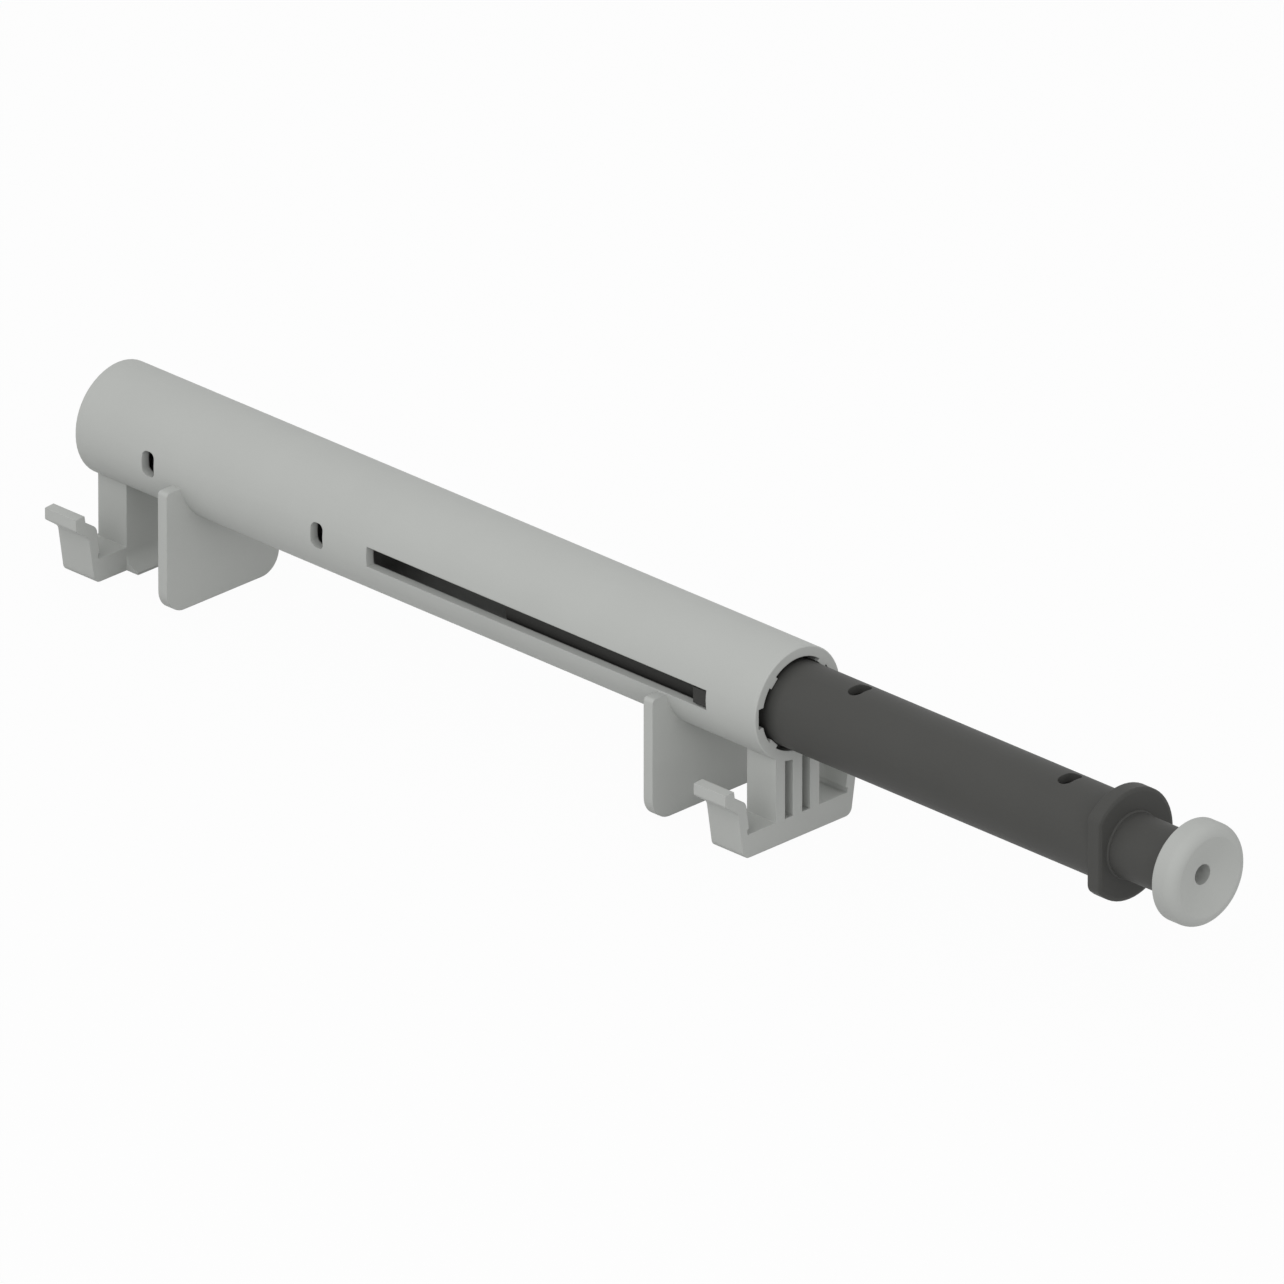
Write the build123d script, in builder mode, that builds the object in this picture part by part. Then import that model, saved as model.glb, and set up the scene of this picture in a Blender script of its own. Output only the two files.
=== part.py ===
from build123d import *
import os

# Soft close damper for cabinet doors and drawers.
# A tubular housing snaps into a channel by two clip feet. A plunger sleeve slides in its mouth and
# carries an oil damper whose rod stands against the rear wall of the housing.
#
# Frame, in millimetres: +X runs along the tube towards the bumper, +Z up from the feet.
# The origin is the middle of the seat face of the front clip. The plunger is drawn extended.

# Housing tube
AXIS_HEIGHT = 17.0
TUBE_DIAMETER = 14.0
TUBE_LENGTH = 111.9
TUBE_WALL = 1.25
REAR_WALL = 1.6
MOUTH_EDGE_BREAK = 0.12
REAR_EDGE_BREAK = 0.25

# Travel of the plunger and the slots that its lugs run in
STROKE = 52.1
SLOT_SETBACK = 8.0
SLOT_END_CLEARANCE = 1.2
SLOT_SIDE_CLEARANCE = 0.26
KEYWAY_DEPTH = 0.62

# Four guide lands along the bore
LAND_WIDTH = 1.45
LAND_ANGLE = 44.5

# Two small windows in each side, one placed from the rear end and one from the slot
REAR_WINDOW_SETBACK = 12.2
FRONT_WINDOW_GAP = 8.2
WINDOW_LENGTH = 2.0
WINDOW_HEIGHT = 3.2
WINDOW_CORNER = 0.8

# Plate fins across the tube
FIN_THICKNESS = 1.45
FIN_WIDTH = 18.3
FIN_TOP_DROP = 1.4
FIN_CORNER = 2.8
FIN_TOP_CORNER = 0.5
FRONT_FIN_SETBACK = 14.5
REAR_FIN_SETBACK = 16.1

# Clip feet: a floor on the seat, a central post and two sprung arms with outward lips
# A small groove at the inner root of each arm lets it bend
CLIP_LENGTH = 5.15
FOOT_HALF_WIDTH = 8.75
FOOT_CORNER = 1.0
FLOOR_THICKNESS = 2.95
POST_WIDTH = 7.1
POST_SETBACK = 0.45
ARM_GAP_HALF_WIDTH = 7.9
ARM_RELIEF_DEPTH = 0.28
ARM_RELIEF_HEIGHT = 0.7
ARM_RELIEF_ROUND = 0.25
ARM_BEND_HALF_WIDTH = 8.45
ARM_BEND_HEIGHT = 7.1
ARM_BEND_ROUND = 1.2
ARM_OUTER_HALF_WIDTH = 9.7
LIP_ROOT_HEIGHT = 6.1
LIP_ROOT_ROUND = 1.0
LIP_HALF_WIDTH = 11.8
LIP_EDGE_HEIGHT = 7.6
LIP_EDGE_THICKNESS = 1.45
LIP_EDGE_ROUND = 0.4
LIP_CREST_HALF_WIDTH = 10.4
LIP_CREST_HEIGHT = 9.15
LIP_STEP_HALF_WIDTH = 10.26
LIP_STEP_HEIGHT = 8.33
POCKET_OFFSET = 1.4
POCKET_WIDTH = 1.3
POCKET_DEPTH = 3.6
TOE_LENGTH = 1.9
TOE_EDGE = 0.3

# Socket inside the rear wall for the foot of the rod
SOCKET_DEPTH = 4.0
SOCKET_WALL = 0.8

# Plunger sleeve
SLEEVE_DIAMETER = 10.44
SLEEVE_WALL = 1.12
SLEEVE_TAIL = 32.2
GUIDE_CLEARANCE = 0.08
LUG_LENGTH = 2.3
LUG_HEIGHT = 2.0
LUG_TIP_DROP = 0.25
OVAL_LENGTH = 1.9
OVAL_WIDTH = 3.2
OVAL_SETBACK = 8.1
OVAL_PITCH = 33.9
FLANGE_THICKNESS = 1.9
FLANGE_DIAMETER = 13.84
FLANGE_FLAT_OFFSET = 5.3
FLANGE_CORNER = 1.5
FLANGE_EDGE_BREAK = 0.25
NECK_DIAMETER = 7.9
NECK_LENGTH = 9.1
NECK_EDGE_BREAK = 0.2

# Bumper cap, pressed into the neck by a stem
CAP_DIAMETER = 12.6
CAP_THICKNESS = 3.4
CAP_RIM_ROUND = 1.4
CAP_REAR_BREAK = 0.3
CAP_DISH_DEPTH = 1.17
CAP_HOLE_DIAMETER = 2.5
STEM_WALL = 1.1
STEM_LENGTH = 6.0
STEM_TIP_WALL = 0.8
STEM_END_GAP = 0.3

# Fit between pieces that are pressed or laid together
SEAT_CLEARANCE = 0.03
SLIDING_CLEARANCE = 0.06

# Damper cylinder
CYLINDER_WALL = 0.7
CYLINDER_RECESS = 0.5
CYLINDER_FRONT_WALL = 2.0
PISTON_CHAMBER_RADIUS = 3.0

# Pieces that close the rear of the cylinder, from the rear end forwards
GUIDE_RECESS = 0.6
GUIDE_LENGTH = 6.3
SEAL_LENGTH = 2.2
SEAL_LIP_DEPTH = 1.2
SEAL_LIP_THICKNESS = 0.5
FOAM_LENGTH = 10.6
FOAM_CLEARANCE = 0.3
SEPARATOR_THICKNESS = 1.0

# Rod, piston and the valve disc that the head of the rod holds on
ROD_DIAMETER = 2.5
ROD_TIP_DIAMETER = 1.7
FOOT_LENGTH = 6.0
FOOT_WALL = 1.0
FOOT_BORE_DEPTH = 4.6
PISTON_LENGTH = 4.6
PISTON_STOP_GAP = 0.7
VALVE_THICKNESS = 0.35
VALVE_DIAMETER = 4.0
ROD_HEAD_LENGTH = 0.8
ROD_HEAD_DIAMETER = 2.8

# Return spring, drawn at its length with the plunger extended
SPRING_WIRE = 0.4
SPRING_COIL_RADIUS = 2.5
SPRING_TURNS = 5
SPRING_END_GAP = 0.05

# Places along the tube that follow from the sizes above
MOUTH_X = CLIP_LENGTH / 2
REAR_X = MOUTH_X - TUBE_LENGTH
REAR_CLIP_X = REAR_X
BORE_END_X = REAR_X + REAR_WALL
FRONT_FIN_X = MOUTH_X - FRONT_FIN_SETBACK - FIN_THICKNESS
REAR_FIN_X = REAR_X + REAR_FIN_SETBACK
SLOT_FRONT_X = MOUTH_X - SLOT_SETBACK
SLOT_LENGTH = STROKE + LUG_LENGTH + SLOT_END_CLEARANCE
SLOT_HEIGHT = LUG_HEIGHT + 2 * SLOT_SIDE_CLEARANCE
LUG_X = SLOT_FRONT_X - LUG_LENGTH
SLEEVE_REAR_X = LUG_X - SLEEVE_TAIL
FLANGE_X = MOUTH_X + STROKE
NECK_X = FLANGE_X + FLANGE_THICKNESS
CAP_X = NECK_X + NECK_LENGTH
CYLINDER_X = SLEEVE_REAR_X + CYLINDER_RECESS
GUIDE_X = CYLINDER_X + GUIDE_RECESS
SEAL_X = GUIDE_X + GUIDE_LENGTH
FOAM_X = SEAL_X + SEAL_LENGTH
SEPARATOR_X = FOAM_X + FOAM_LENGTH
CHAMBER_X = SEPARATOR_X + SEPARATOR_THICKNESS
CHAMBER_END_X = FLANGE_X - CYLINDER_FRONT_WALL
PISTON_X = CHAMBER_X + PISTON_STOP_GAP
PISTON_FRONT_X = PISTON_X + PISTON_LENGTH
ROD_HEAD_X = PISTON_FRONT_X + VALVE_THICKNESS
ROD_X = BORE_END_X + FOOT_LENGTH - FOOT_BORE_DEPTH

# Radii that follow from the sizes above
TUBE_RADIUS = TUBE_DIAMETER / 2
BORE_RADIUS = TUBE_RADIUS - TUBE_WALL
SLEEVE_RADIUS = SLEEVE_DIAMETER / 2
LAND_RADIUS = SLEEVE_RADIUS + GUIDE_CLEARANCE
SLEEVE_BORE_RADIUS = SLEEVE_RADIUS - SLEEVE_WALL
CYLINDER_RADIUS = SLEEVE_BORE_RADIUS - SEAT_CLEARANCE
PACK_BORE_RADIUS = CYLINDER_RADIUS - CYLINDER_WALL
PACK_RADIUS = PACK_BORE_RADIUS - SEAT_CLEARANCE
ROD_RADIUS = ROD_DIAMETER / 2
ROD_HOLE_RADIUS = ROD_RADIUS + SLIDING_CLEARANCE
ROD_TIP_RADIUS = ROD_TIP_DIAMETER / 2
TIP_HOLE_RADIUS = ROD_TIP_RADIUS + SEAT_CLEARANCE
FOOT_RADIUS = ROD_RADIUS + FOOT_WALL
SOCKET_RADIUS = FOOT_RADIUS + SEAT_CLEARANCE
PISTON_RADIUS = PISTON_CHAMBER_RADIUS - SLIDING_CLEARANCE
CAP_HOLE_RADIUS = CAP_HOLE_DIAMETER / 2
STEM_RADIUS = CAP_HOLE_RADIUS + STEM_WALL

TUBE_AXIS = Axis((0, 0, AXIS_HEIGHT), (1, 0, 0))
# Local x of this plane runs along the tube and local y is the radius
AXIAL_PLANE = Plane(origin=(0, 0, AXIS_HEIGHT), x_dir=(1, 0, 0), z_dir=(0, -1, 0))


def section(x):
    """Plane across the tube at x, centred on the tube axis, with local x along +Y."""
    return Plane(origin=(x, 0, AXIS_HEIGHT), x_dir=(0, 1, 0), z_dir=(1, 0, 0))


def seat_section(x):
    """Plane across the tube at x, centred on the seat, with local x along +Y and local y up."""
    return Plane(origin=(x, 0, 0), x_dir=(0, 1, 0), z_dir=(1, 0, 0))


# Housing, one moulding
# Floor and arms of a clip are one closed outline, mirrored about Z
ARM_RELIEF_HALF_WIDTH = ARM_GAP_HALF_WIDTH + ARM_RELIEF_DEPTH
ARM_RELIEF_TOP = FLOOR_THICKNESS + ARM_RELIEF_HEIGHT
CLIP_OUTLINE = [
    (0, 0),
    (FOOT_HALF_WIDTH, 0),
    (ARM_OUTER_HALF_WIDTH, LIP_ROOT_HEIGHT),
    (LIP_HALF_WIDTH, LIP_EDGE_HEIGHT),
    (LIP_HALF_WIDTH, LIP_EDGE_HEIGHT + LIP_EDGE_THICKNESS),
    (LIP_CREST_HALF_WIDTH, LIP_CREST_HEIGHT),
    (LIP_STEP_HALF_WIDTH, LIP_STEP_HEIGHT),
    (ARM_BEND_HALF_WIDTH, ARM_BEND_HEIGHT),
    (ARM_GAP_HALF_WIDTH, ARM_RELIEF_TOP),
    (ARM_RELIEF_HALF_WIDTH, ARM_RELIEF_TOP),
    (ARM_RELIEF_HALF_WIDTH, FLOOR_THICKNESS),
    (0, FLOOR_THICKNESS),
]
# Corners of that outline that are rounded, with their radii
CLIP_ROUNDS = [
    ((FOOT_HALF_WIDTH, 0, 0), FOOT_CORNER),
    ((ARM_OUTER_HALF_WIDTH, LIP_ROOT_HEIGHT, 0), LIP_ROOT_ROUND),
    ((LIP_HALF_WIDTH, LIP_EDGE_HEIGHT, 0), LIP_EDGE_ROUND),
    ((ARM_BEND_HALF_WIDTH, ARM_BEND_HEIGHT, 0), ARM_BEND_ROUND),
    ((ARM_RELIEF_HALF_WIDTH, FLOOR_THICKNESS, 0), ARM_RELIEF_ROUND),
]
# Each post has its pockets in the face that looks away from the other clip
CLIPS = [
    (-CLIP_LENGTH / 2, MOUTH_X - POCKET_DEPTH),
    (REAR_CLIP_X, REAR_CLIP_X + POST_SETBACK),
]

with BuildPart() as housing:
    for clip_x, pocket_x in CLIPS:
        with BuildSketch(seat_section(clip_x)) as clip_profile:
            with BuildLine():
                Polyline(*CLIP_OUTLINE, close=True)
            make_face()
            for corner, corner_round in CLIP_ROUNDS:
                fillet(clip_profile.vertices().sort_by_distance(corner)[0], corner_round)
            mirror(about=Plane.YZ)
        extrude(amount=CLIP_LENGTH)

        # Post that carries the tube, with two pockets that core it out
        with BuildSketch(seat_section(clip_x + POST_SETBACK)):
            Rectangle(POST_WIDTH, AXIS_HEIGHT, align=(Align.CENTER, Align.MIN))
        extrude(amount=CLIP_LENGTH - POST_SETBACK)
        with BuildSketch(seat_section(pocket_x)):
            with Locations((-POCKET_OFFSET, FLOOR_THICKNESS), (POCKET_OFFSET, FLOOR_THICKNESS)):
                Rectangle(POCKET_WIDTH, AXIS_HEIGHT - FLOOR_THICKNESS, align=(Align.CENTER, Align.MIN))
        extrude(amount=POCKET_DEPTH, mode=Mode.SUBTRACT)

    # Toe in front of the rear post, hollowed by an arc that runs up the post
    toe_x = REAR_CLIP_X + CLIP_LENGTH
    with BuildSketch(Plane.XZ.offset(-POST_WIDTH / 2)):
        with BuildLine():
            Polyline((toe_x, TOE_EDGE + TOE_LENGTH), (toe_x, 0), (toe_x + TOE_LENGTH, 0))
            Line((toe_x + TOE_LENGTH, 0), (toe_x + TOE_LENGTH, TOE_EDGE))
            RadiusArc((toe_x + TOE_LENGTH, TOE_EDGE), (toe_x, TOE_EDGE + TOE_LENGTH), TOE_LENGTH)
        make_face()
    extrude(amount=POST_WIDTH)

    # Fins that stand on the seat, with rounded corners
    for fin_x in (REAR_FIN_X, FRONT_FIN_X):
        with BuildSketch(seat_section(fin_x)) as fin_profile:
            Rectangle(FIN_WIDTH, AXIS_HEIGHT - FIN_TOP_DROP, align=(Align.CENTER, Align.MIN))
            fillet(fin_profile.vertices().group_by(Axis.Y)[0], FIN_CORNER)
            fillet(fin_profile.vertices().group_by(Axis.Y)[-1], FIN_TOP_CORNER)
        extrude(amount=FIN_THICKNESS)

    # Tube with broken edges at both ends
    with BuildSketch(AXIAL_PLANE) as tube_profile:
        with Locations((REAR_X, 0)):
            Rectangle(TUBE_LENGTH, TUBE_RADIUS, align=(Align.MIN, Align.MIN))
        outer_corners = tube_profile.vertices().group_by(Axis.Y)[-1].sort_by(Axis.X)
        chamfer(outer_corners[0], REAR_EDGE_BREAK)
        outer_corners = tube_profile.vertices().group_by(Axis.Y)[-1].sort_by(Axis.X)
        chamfer(outer_corners[-1], MOUTH_EDGE_BREAK)
    revolve(axis=TUBE_AXIS)

    # Bore, which leaves four guide lands standing along it
    with BuildSketch(section(BORE_END_X)):
        Circle(BORE_RADIUS)
        for side_angle in (LAND_ANGLE, -LAND_ANGLE):
            with PolarLocations(LAND_RADIUS, 2, start_angle=side_angle):
                Rectangle(BORE_RADIUS, LAND_WIDTH, align=(Align.MIN, Align.CENTER), mode=Mode.SUBTRACT)
        Circle(LAND_RADIUS)
    extrude(amount=MOUTH_X - BORE_END_X, mode=Mode.SUBTRACT)

    # Keyways that ease the lugs in at the mouth until they snap into the slots
    with BuildSketch(section(SLOT_FRONT_X)):
        Rectangle(2 * (BORE_RADIUS + KEYWAY_DEPTH), SLOT_HEIGHT)
    extrude(amount=SLOT_SETBACK, mode=Mode.SUBTRACT)

    # Long slots and small windows, cut through both sides
    with BuildSketch(AXIAL_PLANE):
        with Locations((SLOT_FRONT_X, 0)):
            Rectangle(SLOT_LENGTH, SLOT_HEIGHT, align=(Align.MAX, Align.CENTER))
        for window_x in (REAR_X + REAR_WINDOW_SETBACK, SLOT_FRONT_X - SLOT_LENGTH - FRONT_WINDOW_GAP):
            with Locations((window_x, 0)):
                RectangleRounded(WINDOW_LENGTH, WINDOW_HEIGHT, WINDOW_CORNER)
    extrude(amount=TUBE_DIAMETER, both=True, mode=Mode.SUBTRACT)

    # Socket for the foot of the rod
    with BuildSketch(section(BORE_END_X)):
        Circle(SOCKET_RADIUS + SOCKET_WALL)
        Circle(SOCKET_RADIUS, mode=Mode.SUBTRACT)
    extrude(amount=SOCKET_DEPTH)

housing.part.label = "housing"

# Plunger sleeve with its lugs, oval windows, flange and neck
with BuildPart() as plunger_sleeve:
    with BuildSketch(section(SLEEVE_REAR_X)):
        Circle(SLEEVE_RADIUS)
    extrude(amount=FLANGE_X - SLEEVE_REAR_X)
    with BuildSketch(section(LUG_X)):
        Rectangle(TUBE_DIAMETER - 2 * LUG_TIP_DROP, LUG_HEIGHT)
    extrude(amount=LUG_LENGTH)
    with BuildSketch(section(FLANGE_X)) as flange_profile:
        Circle(FLANGE_DIAMETER / 2)
        with Locations((-FLANGE_FLAT_OFFSET, 0)):
            Rectangle(FLANGE_DIAMETER, FLANGE_DIAMETER, align=(Align.MAX, Align.CENTER), mode=Mode.SUBTRACT)
        fillet(flange_profile.vertices(), FLANGE_CORNER)
    extrude(amount=FLANGE_THICKNESS)
    chamfer(plunger_sleeve.faces().sort_by(Axis.X)[-1].edges(), FLANGE_EDGE_BREAK)
    with BuildSketch(section(NECK_X)):
        Circle(NECK_DIAMETER / 2)
    extrude(amount=NECK_LENGTH)
    neck_root = plunger_sleeve.edges().filter_by(GeomType.CIRCLE).filter_by_position(
        Axis.X, NECK_X, NECK_X
    )
    chamfer(neck_root.sort_by(SortBy.RADIUS)[0], NECK_EDGE_BREAK)
    with BuildSketch(section(SLEEVE_REAR_X)):
        Circle(SLEEVE_BORE_RADIUS)
    extrude(amount=FLANGE_X - SLEEVE_REAR_X, mode=Mode.SUBTRACT)
    with BuildSketch(Plane.XY.offset(AXIS_HEIGHT)):
        for oval in range(2):
            with Locations((MOUTH_X + STROKE - OVAL_SETBACK - oval * OVAL_PITCH, 0)):
                SlotOverall(OVAL_WIDTH, OVAL_LENGTH, rotation=90)
    extrude(amount=SLEEVE_DIAMETER, both=True, mode=Mode.SUBTRACT)
    with BuildSketch(section(CAP_X)):
        Circle(STEM_RADIUS + SEAT_CLEARANCE)
    extrude(amount=-(STEM_LENGTH + STEM_END_GAP), mode=Mode.SUBTRACT)

plunger_sleeve.part.label = "plunger_sleeve"

# Bumper cap: a button with a coned dish, a rounded rim and a hollow stem
CAP_FRONT_X = CAP_X + CAP_THICKNESS
CAP_RADIUS = CAP_DIAMETER / 2
with BuildPart() as bumper_cap:
    with BuildSketch(AXIAL_PLANE) as cap_profile:
        with BuildLine():
            Polyline(
                (CAP_X - STEM_LENGTH, 0),
                (CAP_X - STEM_LENGTH, STEM_RADIUS),
                (CAP_X, STEM_RADIUS),
                (CAP_X, CAP_RADIUS),
                (CAP_FRONT_X - CAP_RIM_ROUND, CAP_RADIUS),
            )
            RadiusArc(
                (CAP_FRONT_X - CAP_RIM_ROUND, CAP_RADIUS),
                (CAP_FRONT_X, CAP_RADIUS - CAP_RIM_ROUND),
                CAP_RIM_ROUND,
            )
            Polyline(
                (CAP_FRONT_X, CAP_RADIUS - CAP_RIM_ROUND),
                (CAP_FRONT_X - CAP_DISH_DEPTH, CAP_HOLE_RADIUS),
                (CAP_FRONT_X - CAP_DISH_DEPTH, 0),
                (CAP_X - STEM_LENGTH, 0),
            )
        make_face()
    revolve(axis=TUBE_AXIS)
    with BuildSketch(section(CAP_X - STEM_LENGTH + STEM_TIP_WALL)):
        Circle(CAP_HOLE_RADIUS)
    extrude(amount=STEM_LENGTH + CAP_THICKNESS, mode=Mode.SUBTRACT)
    rear_edge = bumper_cap.edges().filter_by(GeomType.CIRCLE).filter_by_position(Axis.X, CAP_X, CAP_X)
    chamfer(rear_edge.sort_by(SortBy.RADIUS)[-1], CAP_REAR_BREAK)

bumper_cap.part.label = "bumper_cap"

# Damper cylinder: the wide rear bore takes the seals, the step stops the separator
with BuildPart() as damper_cylinder:
    with BuildSketch(section(CYLINDER_X)):
        Circle(CYLINDER_RADIUS)
    extrude(amount=FLANGE_X - CYLINDER_X)
    with BuildSketch(section(CYLINDER_X)):
        Circle(PACK_BORE_RADIUS)
    extrude(amount=CHAMBER_X - CYLINDER_X, mode=Mode.SUBTRACT)
    with BuildSketch(section(CHAMBER_X)):
        Circle(PISTON_CHAMBER_RADIUS)
    extrude(amount=CHAMBER_END_X - CHAMBER_X, mode=Mode.SUBTRACT)

damper_cylinder.part.label = "damper_cylinder"

# Rod guide, which closes the cylinder
with BuildPart() as rod_guide:
    with BuildSketch(section(GUIDE_X)):
        Circle(PACK_RADIUS)
        Circle(ROD_HOLE_RADIUS, mode=Mode.SUBTRACT)
    extrude(amount=GUIDE_LENGTH)

rod_guide.part.label = "rod_guide"

# Rod seal: a cup with an inner and an outer lip that face the oil
with BuildPart() as rod_seal:
    with BuildSketch(section(SEAL_X)):
        Circle(PACK_RADIUS)
        Circle(ROD_HOLE_RADIUS, mode=Mode.SUBTRACT)
    extrude(amount=SEAL_LENGTH)
    with BuildSketch(section(FOAM_X - SEAL_LIP_DEPTH)):
        Circle(PACK_RADIUS - SEAL_LIP_THICKNESS)
        Circle(ROD_HOLE_RADIUS + SEAL_LIP_THICKNESS, mode=Mode.SUBTRACT)
    extrude(amount=SEAL_LIP_DEPTH, mode=Mode.SUBTRACT)

rod_seal.part.label = "rod_seal"

# Foam compensator, a soft tube that shrinks as the rod comes in
with BuildPart() as foam_compensator:
    with BuildSketch(section(FOAM_X)):
        Circle(PACK_BORE_RADIUS - FOAM_CLEARANCE)
        Circle(ROD_RADIUS + FOAM_CLEARANCE, mode=Mode.SUBTRACT)
    extrude(amount=FOAM_LENGTH)

foam_compensator.part.label = "foam_compensator"

with BuildPart() as separator_washer:
    with BuildSketch(section(SEPARATOR_X)):
        Circle(PACK_RADIUS)
        Circle(ROD_HOLE_RADIUS, mode=Mode.SUBTRACT)
    extrude(amount=SEPARATOR_THICKNESS)

separator_washer.part.label = "separator_washer"

# Foot of the rod, seated in the socket of the rear wall
with BuildPart() as rod_foot:
    with BuildSketch(section(BORE_END_X)):
        Circle(FOOT_RADIUS)
    extrude(amount=FOOT_LENGTH)
    with BuildSketch(section(ROD_X)):
        Circle(ROD_RADIUS + SEAT_CLEARANCE)
    extrude(amount=FOOT_BORE_DEPTH, mode=Mode.SUBTRACT)

rod_foot.part.label = "rod_foot"

# Piston rod with a turned-down tip that carries the piston, upset to a head in front
with BuildPart() as piston_rod:
    with BuildSketch(section(ROD_X)):
        Circle(ROD_RADIUS)
    extrude(amount=PISTON_X - ROD_X)
    with BuildSketch(section(PISTON_X)):
        Circle(ROD_TIP_RADIUS)
    extrude(amount=ROD_HEAD_X - PISTON_X)
    with BuildSketch(section(ROD_HEAD_X)):
        Circle(ROD_HEAD_DIAMETER / 2)
    extrude(amount=ROD_HEAD_LENGTH)

piston_rod.part.label = "piston_rod"

with BuildPart() as piston:
    with BuildSketch(section(PISTON_X)):
        Circle(PISTON_RADIUS)
        Circle(TIP_HOLE_RADIUS, mode=Mode.SUBTRACT)
    extrude(amount=PISTON_LENGTH)

piston.part.label = "piston"

with BuildPart() as valve_disc:
    with BuildSketch(section(PISTON_FRONT_X)):
        Circle(VALVE_DIAMETER / 2)
        Circle(TIP_HOLE_RADIUS, mode=Mode.SUBTRACT)
    extrude(amount=VALVE_THICKNESS)

valve_disc.part.label = "valve_disc"

# Return spring between the piston and the front wall of the cylinder
SPRING_X = PISTON_FRONT_X + SPRING_END_GAP + SPRING_WIRE / 2
SPRING_LENGTH = CHAMBER_END_X - SPRING_END_GAP - SPRING_WIRE / 2 - SPRING_X
with BuildPart() as return_spring:
    with BuildLine() as spring_path:
        Helix(
            pitch=SPRING_LENGTH / SPRING_TURNS,
            height=SPRING_LENGTH,
            radius=SPRING_COIL_RADIUS,
            center=(SPRING_X, 0, AXIS_HEIGHT),
            direction=(1, 0, 0),
        )
    with BuildSketch(Plane(origin=spring_path.line @ 0, z_dir=spring_path.line % 0)):
        Rectangle(SPRING_WIRE, SPRING_WIRE)
    sweep(path=spring_path.line)

return_spring.part.label = "return_spring"

os.makedirs("parts", exist_ok=True)
export_step(housing.part, "parts/housing.step")
export_step(plunger_sleeve.part, "parts/plunger_sleeve.step")
export_step(bumper_cap.part, "parts/bumper_cap.step")
export_step(damper_cylinder.part, "parts/damper_cylinder.step")
export_step(rod_guide.part, "parts/rod_guide.step")
export_step(rod_seal.part, "parts/rod_seal.step")
export_step(foam_compensator.part, "parts/foam_compensator.step")
export_step(separator_washer.part, "parts/separator_washer.step")
export_step(rod_foot.part, "parts/rod_foot.step")
export_step(piston_rod.part, "parts/piston_rod.step")
export_step(piston.part, "parts/piston.step")
export_step(valve_disc.part, "parts/valve_disc.step")
export_step(return_spring.part, "parts/return_spring.step")
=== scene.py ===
"""Looks of a soft close damper: housing, plunger sleeve, bumper cap and the damper inside."""

import logging
import math
from dataclasses import dataclass
from enum import Enum

import bmesh
import bpy
import numpy as np
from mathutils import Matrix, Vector


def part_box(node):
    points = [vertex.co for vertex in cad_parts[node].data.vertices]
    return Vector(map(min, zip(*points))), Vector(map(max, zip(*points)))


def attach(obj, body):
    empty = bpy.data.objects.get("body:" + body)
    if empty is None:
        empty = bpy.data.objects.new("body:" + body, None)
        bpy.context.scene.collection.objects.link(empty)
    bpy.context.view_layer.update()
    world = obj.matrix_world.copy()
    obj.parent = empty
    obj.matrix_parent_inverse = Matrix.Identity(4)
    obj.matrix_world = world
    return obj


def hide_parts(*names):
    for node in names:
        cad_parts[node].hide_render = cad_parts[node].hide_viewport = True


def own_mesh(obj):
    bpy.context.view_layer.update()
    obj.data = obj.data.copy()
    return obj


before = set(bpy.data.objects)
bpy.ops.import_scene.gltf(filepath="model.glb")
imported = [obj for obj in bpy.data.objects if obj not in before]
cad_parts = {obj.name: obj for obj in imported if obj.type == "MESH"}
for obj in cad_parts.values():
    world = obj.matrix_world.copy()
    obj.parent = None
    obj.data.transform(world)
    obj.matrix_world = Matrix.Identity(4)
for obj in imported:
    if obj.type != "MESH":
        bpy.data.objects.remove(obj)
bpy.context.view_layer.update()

LOG = logging.getLogger("damper")

MM = 0.001
TUBE_RADIUS = 7.0 * MM

# Point of the housing that the photo's middle looks at
PICTURE_BEHIND_MOUTH = 25.37 * MM
PICTURE_BELOW_AXIS = 0.56 * MM

# Moulded surfaces: noise scales for coordinates in millimetres
CLOUD_SCALE = 0.16
RUB_SCALE = 0.07

# Moulded surfaces: how strongly an edge is marked, the share of the mark that is even along the
# edge, the drop of roughness on it, and the rays that look for it. The mark makes edges paler,
# which is painted highlight, and smoother.
EDGE_GAIN = 5.0
EDGE_EVENNESS = 0.4
EDGE_POLISH = 0.08
EDGE_RAYS = 6

# Metal surfaces: how much coarser the noise is across the tube than along it
ACROSS_SHARE = 0.12

Colour = tuple[float, float, float]


class Body(Enum):
    """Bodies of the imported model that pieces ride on."""

    HOUSING = "housing"
    PLUNGER = "plunger"


class Sheen(Enum):
    """How glossy a finish is, as the roughness of its shader."""

    SATIN = 0.46
    MATT = 0.58
    DULL = 0.8
    GROUND = 0.28
    DRAWN = 0.38


def linear(red: int, green: int, blue: int) -> Colour:
    """Turn screen values from 0 to 255 into linear colour.

    Args:
        red: Red as shown on a screen.
        green: Green as shown on a screen.
        blue: Blue as shown on a screen.

    Returns:
        The same colour in linear light.
    """
    def channel(value: int) -> float:
        """One channel by the screen's own curve: a line near black and a power above it."""
        share = value / 255
        return share / 12.92 if share <= 0.04045 else ((share + 0.055) / 1.055) ** 2.4

    return channel(red), channel(green), channel(blue)


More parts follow.
